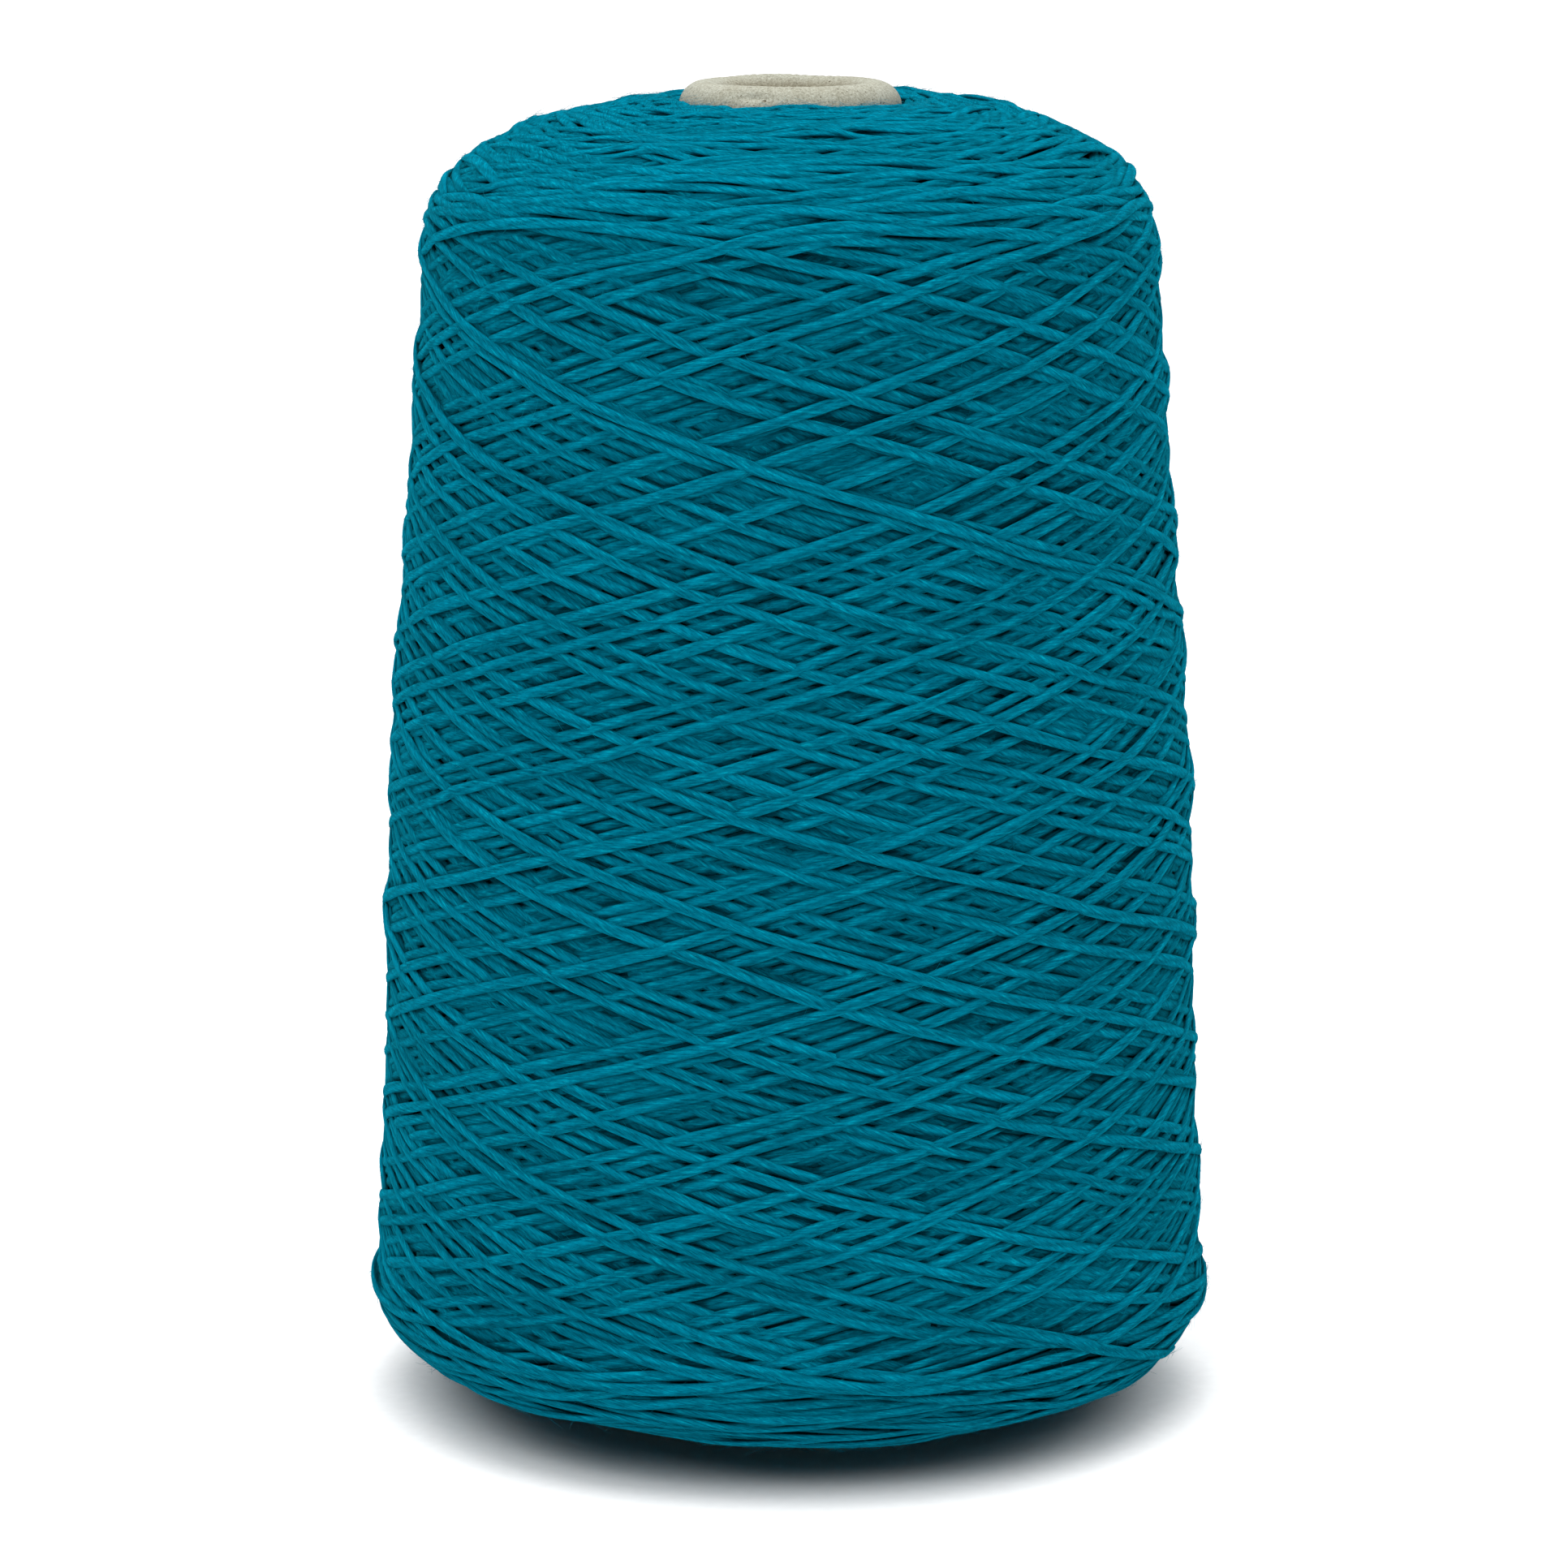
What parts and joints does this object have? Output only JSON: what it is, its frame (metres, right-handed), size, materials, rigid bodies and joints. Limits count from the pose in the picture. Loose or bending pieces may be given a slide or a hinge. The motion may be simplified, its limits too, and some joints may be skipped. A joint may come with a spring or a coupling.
{
  "type": "yarn cone",
  "caption": "Cross-wound package of yarn on a tapered paper cone with a rolled nose, for a knitting machine's yarn stand or creel.",
  "frame": {"origin": "centre of the cone's base rim, on the surface that the package stands on", "axes": "+Z along the cone's axis, from the wide base up to the rolled nose"},
  "size_m": [0.146, 0.146, 0.23],
  "materials": {
    "cardboard": "matte, speckled recycled board",
    "yarn": "soft, plied, slightly fuzzy yarn"
  },
  "bodies": {
    "root": {"paper_cone": "cardboard", "wound_yarn": "yarn"}
  },
  "joints": []
}
